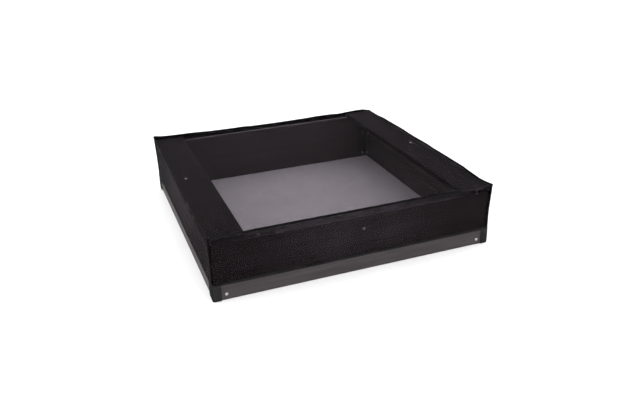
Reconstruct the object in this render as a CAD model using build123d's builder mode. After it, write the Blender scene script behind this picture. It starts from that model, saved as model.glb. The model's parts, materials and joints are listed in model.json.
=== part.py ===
from build123d import *
import os

# Square children's sandbox with a lift-off mesh cover.
# Millimetres. +Z is up, X runs along the front wall, Y runs from front to back.
# The origin is on the ground, at the middle of the box.

os.makedirs("parts", exist_ok=True)

# ---------------------------------------------------------------- dimensions
# frame
side = 1200.0            # outer length and width of the board frame
wall_t = 22.0            # board thickness
board_h = 120.0          # height of one board, two make a wall
arris = 2.0              # rounded long edges of the boards
seat_w = 140.0           # seat board width
seat_t = 22.0            # seat board thickness
seat_arris = 3.0

half = side / 2
inner = half - wall_t                  # inner face of the walls
mid_wall = half - wall_t / 2           # middle of a wall's thickness
wall_top = 2 * board_h
seat_top = wall_top + seat_t
seat_mid = half - seat_w / 2

# corner brackets
brk_leg = 52.0
brk_t = 2.0
brk_low = 8.0
brk_high = 234.0

# bolts, nuts and screws
bolt_d = 6.0
bolt_hole_d = 6.4
head_d = 13.0
head_h = 2.4
nut_af = 10.0
nut_h = 5.0
bolt_past_nut = 3.0
screw_d = 4.0
pilot_d = 4.1
screw_head_d = 8.0
screw_head_h = 2.5
screw_len = 18.0

corner_bolt_z = 24.0
corner_bolt_in = 50.0    # on the front and back walls, from the outer corner
corner_bolt_side_in = 38.0   # on the side walls, so the two nuts clear each other
corner_screw_z = (144.0, 215.0)
corner_screw_in = 50.0

# seat brackets and seat fixings
mid_off = 20.0           # the mid-length fixings sit a little off the middle
seat_bolt_x = 558.0
sb_len = 60.0
sb_t = 2.5
sb_out = 48.0            # leg under the seat
sb_down = 50.0           # leg on the wall
sb_screw_z = 204.0
sb_screw_pitch = 36.0
end_screw_x = (490.0, 570.0)
end_screw_len = 45.0

# joining plate inside the front wall
plate_w = 40.0
plate_t = 3.0
plate_low = 65.0
plate_high = 205.0
plate_bolt_z = 185.0
plate_screw_z = 85.0

# cover
skirt_in = half + 3.2    # inner face of the skirts
skirt_t = 1.2
skirt_out = skirt_in + skirt_t
hem_low = 66.0
hem_h = 12.0
hem_in = half + 2.8
hem_out = half + 5.4
hem_top = hem_low + hem_h
chan_in = half + 3.3     # channel for the elastic
chan_out = half + 4.7
chan_low = hem_low + 1.9
chan_high = hem_top - 1.9
seam_in = half + 1.0
seam_out = half + 5.4
seam_low = 262.0
seam_high = 274.0
panel_low = seat_top + 0.4
panel_t = 1.0
facing_t = 1.0
facing_low = 240.0
strap_t = 1.6
strap_front = 34.8       # width of a corner strap on the front or back face
strap_side = 54.8        # width on the side face
strap_low = 1.5

# ---------------------------------------------------------------- wall boards
# The front and back boards run the full length, the side boards fit between.
# Each board is drilled for its corner bolts, bracket screws and pilot holes.
long_in = half - corner_bolt_in
side_in = half - corner_bolt_side_in
scr_in = half - corner_screw_in
pilot_depth = screw_len - brk_t + 0.5

with BuildPart() as front_lower_board:
    with BuildSketch(Plane.XY):
        with Locations((0, -mid_wall)):
            Rectangle(side, wall_t)
    extrude(amount=board_h)
    fillet(front_lower_board.edges().filter_by(Axis.X), radius=arris)
    with BuildSketch(Plane.XZ.offset(half)):
        with Locations((-long_in, corner_bolt_z), (long_in, corner_bolt_z)):
            Circle(bolt_hole_d / 2)
    extrude(amount=-wall_t, mode=Mode.SUBTRACT)
    with BuildSketch(Plane.XZ.offset(inner)):
        with Locations((mid_off, plate_screw_z)):
            Circle(pilot_d / 2)
    extrude(amount=screw_len - plate_t + 0.5, mode=Mode.SUBTRACT)

with BuildPart() as front_upper_board:
    with BuildSketch(Plane.XY.offset(board_h)):
        with Locations((0, -mid_wall)):
            Rectangle(side, wall_t)
    extrude(amount=board_h)
    fillet(front_upper_board.edges().filter_by(Axis.X), radius=arris)
    with BuildSketch(Plane.XZ.offset(half)):
        with Locations((mid_off, plate_bolt_z)):
            Circle(bolt_hole_d / 2)
    extrude(amount=-wall_t, mode=Mode.SUBTRACT)
    with BuildSketch(Plane.XZ.offset(inner)):
        with Locations(*[(s * scr_in, z) for s in (-1, 1) for z in corner_screw_z]):
            Circle(pilot_d / 2)
    extrude(amount=pilot_depth, mode=Mode.SUBTRACT)
    with BuildSketch(Plane.XY.offset(wall_top)):
        with Locations(*[(s * x, -mid_wall) for s in (-1, 1) for x in end_screw_x]):
            Circle(pilot_d / 2)
    extrude(amount=-(end_screw_len - seat_t + 0.5), mode=Mode.SUBTRACT)

with BuildPart() as back_lower_board:
    with BuildSketch(Plane.XY):
        with Locations((0, mid_wall)):
            Rectangle(side, wall_t)
    extrude(amount=board_h)
    fillet(back_lower_board.edges().filter_by(Axis.X), radius=arris)
    with BuildSketch(Plane.XZ.offset(-half)):
        with Locations((-long_in, corner_bolt_z), (long_in, corner_bolt_z)):
            Circle(bolt_hole_d / 2)
    extrude(amount=wall_t, mode=Mode.SUBTRACT)

with BuildPart() as back_upper_board:
    with BuildSketch(Plane.XY.offset(board_h)):
        with Locations((0, mid_wall)):
            Rectangle(side, wall_t)
    extrude(amount=board_h)
    fillet(back_upper_board.edges().filter_by(Axis.X), radius=arris)
    with BuildSketch(Plane.XZ.offset(-inner)):
        with Locations(*[(s * scr_in, z) for s in (-1, 1) for z in corner_screw_z]):
            Circle(pilot_d / 2)
    extrude(amount=-pilot_depth, mode=Mode.SUBTRACT)
    with BuildSketch(Plane.XY.offset(wall_top)):
        with Locations(*[(s * x, mid_wall) for s in (-1, 1) for x in end_screw_x]):
            Circle(pilot_d / 2)
    extrude(amount=-(end_screw_len - seat_t + 0.5), mode=Mode.SUBTRACT)

with BuildPart() as left_lower_board:
    with BuildSketch(Plane.XY):
        with Locations((-mid_wall, 0)):
            Rectangle(wall_t, 2 * inner)
    extrude(amount=board_h)
    fillet(left_lower_board.edges().filter_by(Axis.Y), radius=arris)
    with BuildSketch(Plane.YZ.offset(-half)):
        with Locations((-side_in, corner_bolt_z), (side_in, corner_bolt_z)):
            Circle(bolt_hole_d / 2)
    extrude(amount=wall_t, mode=Mode.SUBTRACT)

with BuildPart() as left_upper_board:
    with BuildSketch(Plane.XY.offset(board_h)):
        with Locations((-mid_wall, 0)):
            Rectangle(wall_t, 2 * inner)
    extrude(amount=board_h)
    fillet(left_upper_board.edges().filter_by(Axis.Y), radius=arris)
    with BuildSketch(Plane.YZ.offset(-inner)):
        with Locations(*[(s * scr_in, z) for s in (-1, 1) for z in corner_screw_z]):
            Circle(pilot_d / 2)
    extrude(amount=-pilot_depth, mode=Mode.SUBTRACT)
    with BuildSketch(Plane.YZ.offset(-inner)):
        with Locations(*[(mid_off + s * sb_screw_pitch / 2, sb_screw_z) for s in (-1, 1)]):
            Circle(pilot_d / 2)
    extrude(amount=-(screw_len - sb_t + 0.5), mode=Mode.SUBTRACT)

with BuildPart() as right_lower_board:
    with BuildSketch(Plane.XY):
        with Locations((mid_wall, 0)):
            Rectangle(wall_t, 2 * inner)
    extrude(amount=board_h)
    fillet(right_lower_board.edges().filter_by(Axis.Y), radius=arris)
    with BuildSketch(Plane.YZ.offset(half)):
        with Locations((-side_in, corner_bolt_z), (side_in, corner_bolt_z)):
            Circle(bolt_hole_d / 2)
    extrude(amount=-wall_t, mode=Mode.SUBTRACT)

with BuildPart() as right_upper_board:
    with BuildSketch(Plane.XY.offset(board_h)):
        with Locations((mid_wall, 0)):
            Rectangle(wall_t, 2 * inner)
    extrude(amount=board_h)
    fillet(right_upper_board.edges().filter_by(Axis.Y), radius=arris)
    with BuildSketch(Plane.YZ.offset(inner)):
        with Locations(*[(s * scr_in, z) for s in (-1, 1) for z in corner_screw_z]):
            Circle(pilot_d / 2)
    extrude(amount=pilot_depth, mode=Mode.SUBTRACT)
    with BuildSketch(Plane.YZ.offset(inner)):
        with Locations(*[(mid_off + s * sb_screw_pitch / 2, sb_screw_z) for s in (-1, 1)]):
            Circle(pilot_d / 2)
    extrude(amount=screw_len - sb_t + 0.5, mode=Mode.SUBTRACT)

# ---------------------------------------------------------------- seat boards
# They lie on the side walls, run from the front wall to the back wall, and
# are recessed for one flush bolt each and for the end screws.
with BuildPart() as left_seat:
    with BuildSketch(Plane.XY.offset(wall_top)):
        with Locations((-seat_mid, 0)):
            Rectangle(seat_w, side)
    extrude(amount=seat_t)
    fillet(left_seat.edges(), radius=seat_arris)
    with BuildSketch(Plane.XY.offset(seat_top)):
        with Locations((-seat_bolt_x, mid_off)):
            Circle(head_d / 2 + 0.2)
    extrude(amount=-(head_h + 0.2), mode=Mode.SUBTRACT)
    with BuildSketch(Plane.XY.offset(wall_top)):
        with Locations((-seat_bolt_x, mid_off)):
            Circle(bolt_hole_d / 2)
    extrude(amount=seat_t, mode=Mode.SUBTRACT)
    with BuildSketch(Plane.XY.offset(seat_top)):
        with Locations(*[(-x, s * mid_wall) for s in (-1, 1) for x in end_screw_x]):
            Circle(screw_head_d / 2 + 0.2)
    extrude(amount=-(screw_head_h + 0.2), mode=Mode.SUBTRACT)
    with BuildSketch(Plane.XY.offset(wall_top)):
        with Locations(*[(-x, s * mid_wall) for s in (-1, 1) for x in end_screw_x]):
            Circle(pilot_d / 2 + 0.1)
    extrude(amount=seat_t, mode=Mode.SUBTRACT)

with BuildPart() as right_seat:
    with BuildSketch(Plane.XY.offset(wall_top)):
        with Locations((seat_mid, 0)):
            Rectangle(seat_w, side)
    extrude(amount=seat_t)
    fillet(right_seat.edges(), radius=seat_arris)
    with BuildSketch(Plane.XY.offset(seat_top)):
        with Locations((seat_bolt_x, mid_off)):
            Circle(head_d / 2 + 0.2)
    extrude(amount=-(head_h + 0.2), mode=Mode.SUBTRACT)
    with BuildSketch(Plane.XY.offset(wall_top)):
        with Locations((seat_bolt_x, mid_off)):
            Circle(bolt_hole_d / 2)
    extrude(amount=seat_t, mode=Mode.SUBTRACT)
    with BuildSketch(Plane.XY.offset(seat_top)):
        with Locations(*[(x, s * mid_wall) for s in (-1, 1) for x in end_screw_x]):
            Circle(screw_head_d / 2 + 0.2)
    extrude(amount=-(screw_head_h + 0.2), mode=Mode.SUBTRACT)
    with BuildSketch(Plane.XY.offset(wall_top)):
        with Locations(*[(x, s * mid_wall) for s in (-1, 1) for x in end_screw_x]):
            Circle(pilot_d / 2 + 0.1)
    extrude(amount=seat_t, mode=Mode.SUBTRACT)

# ---------------------------------------------------------------- corner brackets
# Steel angles in the four inner corners. Made once at the front left corner and
# mirrored to the others.
with BuildPart() as bracket_front_left:
    with BuildSketch(Plane.XY.offset(brk_low)):
        with BuildLine():
            Polyline(
                (-inner, -inner), (-inner + brk_leg, -inner), (-inner + brk_leg, -inner + brk_t),
                (-inner + brk_t, -inner + brk_t), (-inner + brk_t, -inner + brk_leg),
                (-inner, -inner + brk_leg), (-inner, -inner))
        make_face()
    extrude(amount=brk_high - brk_low)
    # free corners of the two legs
    fillet(bracket_front_left.edges().filter_by(Axis.Y).filter_by(lambda e: abs(e.length - brk_t) < 0.01), radius=6.0)
    fillet(bracket_front_left.edges().filter_by(Axis.X).filter_by(lambda e: abs(e.length - brk_t) < 0.01), radius=6.0)
    with BuildSketch(Plane.XZ.offset(inner)):
        with Locations((-long_in, corner_bolt_z)):
            Circle(bolt_hole_d / 2)
        with Locations(*[(-scr_in, z) for z in corner_screw_z]):
            Circle(pilot_d / 2 + 0.2)
    extrude(amount=-brk_t, mode=Mode.SUBTRACT)
    with BuildSketch(Plane.YZ.offset(-inner)):
        with Locations((-side_in, corner_bolt_z)):
            Circle(bolt_hole_d / 2)
        with Locations(*[(-scr_in, z) for z in corner_screw_z]):
            Circle(pilot_d / 2 + 0.2)
    extrude(amount=brk_t, mode=Mode.SUBTRACT)

with BuildPart() as bracket_front_right:
    mirror(bracket_front_left.part, about=Plane.YZ)

with BuildPart() as bracket_back_left:
    mirror(bracket_front_left.part, about=Plane.XZ)

with BuildPart() as bracket_back_right:
    mirror(bracket_front_right.part, about=Plane.XZ)

# ---------------------------------------------------------------- seat brackets
# A small steel angle under each seat, screwed to the side wall.
with BuildPart() as right_seat_bracket:
    with BuildSketch(Plane.XZ.offset(-mid_off - sb_len / 2)):
        with BuildLine():
            Polyline(
                (inner, wall_top), (inner - sb_out, wall_top), (inner - sb_out, wall_top - sb_t),
                (inner - sb_t, wall_top - sb_t), (inner - sb_t, wall_top - sb_down),
                (inner, wall_top - sb_down), (inner, wall_top))
        make_face()
    extrude(amount=sb_len)
    with BuildSketch(Plane.XY.offset(wall_top)):
        with Locations((seat_bolt_x, mid_off)):
            Circle(bolt_hole_d / 2)
    extrude(amount=-sb_t, mode=Mode.SUBTRACT)
    with BuildSketch(Plane.YZ.offset(inner)):
        with Locations(*[(mid_off + s * sb_screw_pitch / 2, sb_screw_z) for s in (-1, 1)]):
            Circle(pilot_d / 2 + 0.2)
    extrude(amount=-sb_t, mode=Mode.SUBTRACT)

with BuildPart() as left_seat_bracket:
    mirror(right_seat_bracket.part, about=Plane.YZ)

# ---------------------------------------------------------------- joining plate
# A flat steel plate that ties the two front boards together at mid-length.
with BuildPart() as front_joining_plate:
    with BuildSketch(Plane.XZ.offset(inner)):
        with Locations((mid_off, (plate_low + plate_high) / 2)):
            RectangleRounded(plate_w, plate_high - plate_low, 6.0)
        with Locations((mid_off, plate_bolt_z)):
            Circle(bolt_hole_d / 2, mode=Mode.SUBTRACT)
        with Locations((mid_off, plate_screw_z)):
            Circle(pilot_d / 2 + 0.2, mode=Mode.SUBTRACT)
    extrude(amount=-plate_t)

# ---------------------------------------------------------------- fasteners
# Round-headed bolt along +Z: the head's underside is at z = 0 and the shank
# points to -Z.
bolt_len = wall_t + brk_t + nut_h + bolt_past_nut

with BuildPart() as bolt:
    with BuildSketch(Plane.XY):
        Circle(head_d / 2)
    extrude(amount=head_h)
    fillet(bolt.faces().sort_by(Axis.Z)[-1].edges(), radius=2.1)
    with BuildSketch(Plane.XY):
        Circle(bolt_d / 2)
    extrude(amount=-bolt_len)
    chamfer(bolt.faces().sort_by(Axis.Z)[0].edges(), length=0.8)

with BuildPart() as plate_bolt:
    with BuildSketch(Plane.XY):
        Circle(head_d / 2)
    extrude(amount=head_h)
    fillet(plate_bolt.faces().sort_by(Axis.Z)[-1].edges(), radius=2.1)
    with BuildSketch(Plane.XY):
        Circle(bolt_d / 2)
    extrude(amount=-(bolt_len + plate_t - brk_t))
    chamfer(plate_bolt.faces().sort_by(Axis.Z)[0].edges(), length=0.8)

# Flat-headed seat bolt, sunk flush in the seat board.
with BuildPart() as flush_bolt:
    with BuildSketch(Plane.XY):
        Circle(head_d / 2)
    extrude(amount=head_h)
    fillet(flush_bolt.faces().sort_by(Axis.Z)[-1].edges(), radius=0.6)
    with BuildSketch(Plane.XY):
        Circle(bolt_d / 2)
    extrude(amount=-(seat_t - head_h + sb_t + nut_h + bolt_past_nut - 0.2))
    chamfer(flush_bolt.faces().sort_by(Axis.Z)[0].edges(), length=0.8)

# Hexagon nut, standing from z = 0 to its height.
with BuildPart() as nut:
    with BuildSketch(Plane.XY):
        RegularPolygon(nut_af / 2, 6, major_radius=False)
        Circle(bolt_d / 2 + 0.05, mode=Mode.SUBTRACT)
    extrude(amount=nut_h)

# Wood screw: the head's underside is at z = 0 and the shank points to -Z.
with BuildPart() as screw:
    with BuildSketch(Plane.XY):
        Circle(screw_head_d / 2)
    extrude(amount=screw_head_h)
    fillet(screw.faces().sort_by(Axis.Z)[-1].edges(), radius=1.4)
    with BuildSketch(Plane.XY):
        Circle(screw_d / 2)
    extrude(amount=-screw_len)
    chamfer(screw.faces().sort_by(Axis.Z)[0].edges(), length=1.2)

with BuildPart() as end_screw:
    with BuildSketch(Plane.XY):
        Circle(screw_head_d / 2)
    extrude(amount=screw_head_h)
    fillet(end_screw.faces().sort_by(Axis.Z)[-1].edges(), radius=0.5)
    with BuildSketch(Plane.XY):
        Circle(screw_d / 2)
    extrude(amount=-(end_screw_len - screw_head_h - 0.2))
    chamfer(end_screw.faces().sort_by(Axis.Z)[0].edges(), length=1.2)


# Places of the fasteners: local +Z points out of the face that the head sits on.
def facing_y(x, y, z, sign):
    return Plane(origin=(x, y, z), x_dir=(1, 0, 0), z_dir=(0, sign, 0)).location


def facing_x(x, y, z, sign):
    return Plane(origin=(x, y, z), x_dir=(0, 1, 0), z_dir=(sign, 0, 0)).location


bolt_places = (
    [facing_y(s * long_in, -half, corner_bolt_z, -1) for s in (-1, 1)]
    + [facing_y(s * long_in, half, corner_bolt_z, 1) for s in (-1, 1)]
    + [facing_x(-half, s * side_in, corner_bolt_z, -1) for s in (-1, 1)]
    + [facing_x(half, s * side_in, corner_bolt_z, 1) for s in (-1, 1)]
)
nut_face = inner - brk_t
nut_places = (
    [facing_y(s * long_in, -nut_face, corner_bolt_z, 1) for s in (-1, 1)]
    + [facing_y(s * long_in, nut_face, corner_bolt_z, -1) for s in (-1, 1)]
    + [facing_x(-nut_face, s * side_in, corner_bolt_z, 1) for s in (-1, 1)]
    + [facing_x(nut_face, s * side_in, corner_bolt_z, -1) for s in (-1, 1)]
)
screw_places = (
    [facing_y(s * scr_in, -nut_face, z, 1) for s in (-1, 1) for z in corner_screw_z]
    + [facing_y(s * scr_in, nut_face, z, -1) for s in (-1, 1) for z in corner_screw_z]
    + [facing_x(-nut_face, s * scr_in, z, 1) for s in (-1, 1) for z in corner_screw_z]
    + [facing_x(nut_face, s * scr_in, z, -1) for s in (-1, 1) for z in corner_screw_z]
)

with BuildPart() as corner_bolts:
    with Locations(*bolt_places):
        add(bolt.part)

with BuildPart() as corner_nuts:
    with Locations(*nut_places):
        add(nut.part)

with BuildPart() as bracket_screws:
    with Locations(*screw_places):
        add(screw.part)

with BuildPart() as seat_bolts:
    with Locations(*[Location((s * seat_bolt_x, mid_off, seat_top - head_h - 0.2)) for s in (-1, 1)]):
        add(flush_bolt.part)

with BuildPart() as seat_nuts:
    with Locations(*[Location((s * seat_bolt_x, mid_off, wall_top - sb_t - nut_h)) for s in (-1, 1)]):
        add(nut.part)

with BuildPart() as seat_bracket_screws:
    with Locations(*(
            [facing_x(-(inner - sb_t), mid_off + s * sb_screw_pitch / 2, sb_screw_z, 1) for s in (-1, 1)]
            + [facing_x(inner - sb_t, mid_off + s * sb_screw_pitch / 2, sb_screw_z, -1) for s in (-1, 1)])):
        add(screw.part)

with BuildPart() as seat_end_screws:
    with Locations(*[
            Location((sx * x, sy * mid_wall, seat_top - screw_head_h - 0.2))
            for sx in (-1, 1) for sy in (-1, 1) for x in end_screw_x]):
        add(end_screw.part)

with BuildPart() as plate_round_bolt:
    with Locations(facing_y(mid_off, -half, plate_bolt_z, -1)):
        add(plate_bolt.part)

with BuildPart() as plate_nut:
    with Locations(facing_y(mid_off, -inner + plate_t, plate_bolt_z, 1)):
        add(nut.part)

with BuildPart() as plate_screw:
    with Locations(facing_y(mid_off, -inner + plate_t, plate_screw_z, 1)):
        add(screw.part)

# ---------------------------------------------------------------- cover
# Top panel: one flat piece of mesh from seam to seam.
with BuildPart() as cover_top_panel:
    with BuildSketch(Plane.XY.offset(panel_low)):
        Rectangle(2 * seam_in, 2 * seam_in)
    extrude(amount=panel_t)

# Skirts: the front and back ones run the full length, the side ones between.
with BuildPart() as cover_skirt_front:
    with BuildSketch(Plane.XY.offset(hem_top)):
        with Locations((0, -(skirt_in + skirt_out) / 2)):
            Rectangle(2 * skirt_out, skirt_t)
    extrude(amount=seam_low - hem_top)

with BuildPart() as cover_skirt_back:
    with BuildSketch(Plane.XY.offset(hem_top)):
        with Locations((0, (skirt_in + skirt_out) / 2)):
            Rectangle(2 * skirt_out, skirt_t)
    extrude(amount=seam_low - hem_top)

with BuildPart() as cover_skirt_left:
    with BuildSketch(Plane.XY.offset(hem_top)):
        with Locations((-(skirt_in + skirt_out) / 2, 0)):
            Rectangle(skirt_t, 2 * skirt_in)
    extrude(amount=seam_low - hem_top)

with BuildPart() as cover_skirt_right:
    with BuildSketch(Plane.XY.offset(hem_top)):
        with Locations(((skirt_in + skirt_out) / 2, 0)):
            Rectangle(skirt_t, 2 * skirt_in)
    extrude(amount=seam_low - hem_top)

# Seam welts: upright folded seams along the four top edges.
with BuildPart() as cover_seam_front:
    with BuildSketch(Plane.XY.offset(seam_low)):
        with Locations((0, -(seam_in + seam_out) / 2)):
            Rectangle(2 * seam_out, seam_out - seam_in)
    extrude(amount=seam_high - seam_low)

with BuildPart() as cover_seam_back:
    with BuildSketch(Plane.XY.offset(seam_low)):
        with Locations((0, (seam_in + seam_out) / 2)):
            Rectangle(2 * seam_out, seam_out - seam_in)
    extrude(amount=seam_high - seam_low)

with BuildPart() as cover_seam_left:
    with BuildSketch(Plane.XY.offset(seam_low)):
        with Locations((-(seam_in + seam_out) / 2, 0)):
            Rectangle(seam_out - seam_in, 2 * seam_in)
    extrude(amount=seam_high - seam_low)

with BuildPart() as cover_seam_right:
    with BuildSketch(Plane.XY.offset(seam_low)):
        with Locations(((seam_in + seam_out) / 2, 0)):
            Rectangle(seam_out - seam_in, 2 * seam_in)
    extrude(amount=seam_high - seam_low)

# Facing tapes: sewn inside the top of the skirts, under the seams.
facing_in = skirt_in - facing_t
with BuildPart() as cover_facing_front:
    with BuildSketch(Plane.XY.offset(facing_low)):
        with Locations((0, -(facing_in + skirt_in) / 2)):
            Rectangle(2 * skirt_in, facing_t)
    extrude(amount=seam_low - facing_low)

with BuildPart() as cover_facing_back:
    with BuildSketch(Plane.XY.offset(facing_low)):
        with Locations((0, (facing_in + skirt_in) / 2)):
            Rectangle(2 * skirt_in, facing_t)
    extrude(amount=seam_low - facing_low)

with BuildPart() as cover_facing_left:
    with BuildSketch(Plane.XY.offset(facing_low)):
        with Locations((-(facing_in + skirt_in) / 2, 0)):
            Rectangle(facing_t, 2 * facing_in)
    extrude(amount=seam_low - facing_low)

with BuildPart() as cover_facing_right:
    with BuildSketch(Plane.XY.offset(facing_low)):
        with Locations(((facing_in + skirt_in) / 2, 0)):
            Rectangle(facing_t, 2 * facing_in)
    extrude(amount=seam_low - facing_low)

# Elastic: one loop in the channel of the hem bands.
with BuildPart() as cover_hem_elastic:
    with BuildSketch(Plane.XY.offset(chan_low + 0.1)):
        Rectangle(2 * (chan_out - 0.1), 2 * (chan_out - 0.1))
        Rectangle(2 * (chan_in + 0.1), 2 * (chan_in + 0.1), mode=Mode.SUBTRACT)
    extrude(amount=chan_high - chan_low - 0.2)

with BuildPart() as channel:
    with BuildSketch(Plane.XY.offset(chan_low)):
        Rectangle(2 * chan_out, 2 * chan_out)
        Rectangle(2 * chan_in, 2 * chan_in, mode=Mode.SUBTRACT)
    extrude(amount=chan_high - chan_low)

# Hem bands: folded over the elastic at the lower edge of the skirts.
with BuildPart() as cover_hem_front:
    with BuildSketch(Plane.XY.offset(hem_low)):
        with Locations((0, -(hem_in + hem_out) / 2)):
            Rectangle(2 * hem_out, hem_out - hem_in)
    extrude(amount=hem_h)
    add(channel.part, mode=Mode.SUBTRACT)

with BuildPart() as cover_hem_back:
    with BuildSketch(Plane.XY.offset(hem_low)):
        with Locations((0, (hem_in + hem_out) / 2)):
            Rectangle(2 * hem_out, hem_out - hem_in)
    extrude(amount=hem_h)
    add(channel.part, mode=Mode.SUBTRACT)

with BuildPart() as cover_hem_left:
    with BuildSketch(Plane.XY.offset(hem_low)):
        with Locations((-(hem_in + hem_out) / 2, 0)):
            Rectangle(hem_out - hem_in, 2 * hem_in)
    extrude(amount=hem_h)
    add(channel.part, mode=Mode.SUBTRACT)

with BuildPart() as cover_hem_right:
    with BuildSketch(Plane.XY.offset(hem_low)):
        with Locations(((hem_in + hem_out) / 2, 0)):
            Rectangle(hem_out - hem_in, 2 * hem_in)
    extrude(amount=hem_h)
    add(channel.part, mode=Mode.SUBTRACT)

# Corner straps: folded round each corner, from the hem to just off the ground.
strap_in = half + 3.2
strap_out = strap_in + strap_t
with BuildPart() as corner_strap_front_left:
    with BuildSketch(Plane.XY.offset(strap_low)):
        with BuildLine():
            Polyline(
                (-strap_out, -strap_out), (-strap_out + strap_front, -strap_out),
                (-strap_out + strap_front, -strap_in), (-strap_in, -strap_in),
                (-strap_in, -strap_out + strap_side), (-strap_out, -strap_out + strap_side),
                (-strap_out, -strap_out))
        make_face()
    extrude(amount=hem_low - strap_low)

with BuildPart() as corner_strap_front_right:
    mirror(corner_strap_front_left.part, about=Plane.YZ)

with BuildPart() as corner_strap_back_left:
    mirror(corner_strap_front_left.part, about=Plane.XZ)

with BuildPart() as corner_strap_back_right:
    mirror(corner_strap_front_right.part, about=Plane.XZ)

# ---------------------------------------------------------------- labels and files
front_lower_board.part.label = "front_lower_board"
export_step(front_lower_board.part, "parts/front_lower_board.step")
front_upper_board.part.label = "front_upper_board"
export_step(front_upper_board.part, "parts/front_upper_board.step")
back_lower_board.part.label = "back_lower_board"
export_step(back_lower_board.part, "parts/back_lower_board.step")
back_upper_board.part.label = "back_upper_board"
export_step(back_upper_board.part, "parts/back_upper_board.step")
left_lower_board.part.label = "left_lower_board"
export_step(left_lower_board.part, "parts/left_lower_board.step")
left_upper_board.part.label = "left_upper_board"
export_step(left_upper_board.part, "parts/left_upper_board.step")
right_lower_board.part.label = "right_lower_board"
export_step(right_lower_board.part, "parts/right_lower_board.step")
right_upper_board.part.label = "right_upper_board"
export_step(right_upper_board.part, "parts/right_upper_board.step")
left_seat.part.label = "left_seat"
export_step(left_seat.part, "parts/left_seat.step")
right_seat.part.label = "right_seat"
export_step(right_seat.part, "parts/right_seat.step")
bracket_front_left.part.label = "bracket_front_left"
export_step(bracket_front_left.part, "parts/bracket_front_left.step")
bracket_front_right.part.label = "bracket_front_right"
export_step(bracket_front_right.part, "parts/bracket_front_right.step")
bracket_back_left.part.label = "bracket_back_left"
export_step(bracket_back_left.part, "parts/bracket_back_left.step")
bracket_back_right.part.label = "bracket_back_right"
export_step(bracket_back_right.part, "parts/bracket_back_right.step")
left_seat_bracket.part.label = "left_seat_bracket"
export_step(left_seat_bracket.part, "parts/left_seat_bracket.step")
right_seat_bracket.part.label = "right_seat_bracket"
export_step(right_seat_bracket.part, "parts/right_seat_bracket.step")
front_joining_plate.part.label = "front_joining_plate"
export_step(front_joining_plate.part, "parts/front_joining_plate.step")
corner_bolts.part.label = "corner_bolts"
export_step(corner_bolts.part, "parts/corner_bolts.step")
corner_nuts.part.label = "corner_nuts"
export_step(corner_nuts.part, "parts/corner_nuts.step")
bracket_screws.part.label = "bracket_screws"
export_step(bracket_screws.part, "parts/bracket_screws.step")
seat_bolts.part.label = "seat_bolts"
export_step(seat_bolts.part, "parts/seat_bolts.step")
seat_nuts.part.label = "seat_nuts"
export_step(seat_nuts.part, "parts/seat_nuts.step")
seat_bracket_screws.part.label = "seat_bracket_screws"
export_step(seat_bracket_screws.part, "parts/seat_bracket_screws.step")
seat_end_screws.part.label = "seat_end_screws"
export_step(seat_end_screws.part, "parts/seat_end_screws.step")
plate_round_bolt.part.label = "plate_round_bolt"
export_step(plate_round_bolt.part, "parts/plate_round_bolt.step")
plate_nut.part.label = "plate_nut"
export_step(plate_nut.part, "parts/plate_nut.step")
plate_screw.part.label = "plate_screw"
export_step(plate_screw.part, "parts/plate_screw.step")
cover_top_panel.part.label = "cover_top_panel"
export_step(cover_top_panel.part, "parts/cover_top_panel.step")
cover_skirt_front.part.label = "cover_skirt_front"
export_step(cover_skirt_front.part, "parts/cover_skirt_front.step")
cover_skirt_back.part.label = "cover_skirt_back"
export_step(cover_skirt_back.part, "parts/cover_skirt_back.step")
cover_skirt_left.part.label = "cover_skirt_left"
export_step(cover_skirt_left.part, "parts/cover_skirt_left.step")
cover_skirt_right.part.label = "cover_skirt_right"
export_step(cover_skirt_right.part, "parts/cover_skirt_right.step")
cover_seam_front.part.label = "cover_seam_front"
export_step(cover_seam_front.part, "parts/cover_seam_front.step")
cover_seam_back.part.label = "cover_seam_back"
export_step(cover_seam_back.part, "parts/cover_seam_back.step")
cover_seam_left.part.label = "cover_seam_left"
export_step(cover_seam_left.part, "parts/cover_seam_left.step")
cover_seam_right.part.label = "cover_seam_right"
export_step(cover_seam_right.part, "parts/cover_seam_right.step")
cover_facing_front.part.label = "cover_facing_front"
export_step(cover_facing_front.part, "parts/cover_facing_front.step")
cover_facing_back.part.label = "cover_facing_back"
export_step(cover_facing_back.part, "parts/cover_facing_back.step")
cover_facing_left.part.label = "cover_facing_left"
export_step(cover_facing_left.part, "parts/cover_facing_left.step")
cover_facing_right.part.label = "cover_facing_right"
export_step(cover_facing_right.part, "parts/cover_facing_right.step")
cover_hem_front.part.label = "cover_hem_front"
export_step(cover_hem_front.part, "parts/cover_hem_front.step")
cover_hem_back.part.label = "cover_hem_back"
export_step(cover_hem_back.part, "parts/cover_hem_back.step")
cover_hem_left.part.label = "cover_hem_left"
export_step(cover_hem_left.part, "parts/cover_hem_left.step")
cover_hem_right.part.label = "cover_hem_right"
export_step(cover_hem_right.part, "parts/cover_hem_right.step")
cover_hem_elastic.part.label = "cover_hem_elastic"
export_step(cover_hem_elastic.part, "parts/cover_hem_elastic.step")
corner_strap_front_left.part.label = "corner_strap_front_left"
export_step(corner_strap_front_left.part, "parts/corner_strap_front_left.step")
corner_strap_front_right.part.label = "corner_strap_front_right"
export_step(corner_strap_front_right.part, "parts/corner_strap_front_right.step")
corner_strap_back_left.part.label = "corner_strap_back_left"
export_step(corner_strap_back_left.part, "parts/corner_strap_back_left.step")
corner_strap_back_right.part.label = "corner_strap_back_right"
export_step(corner_strap_back_right.part, "parts/corner_strap_back_right.step")
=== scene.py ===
import json
import math
import bpy
import numpy as np
from mathutils import Matrix, Vector, noise

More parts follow.
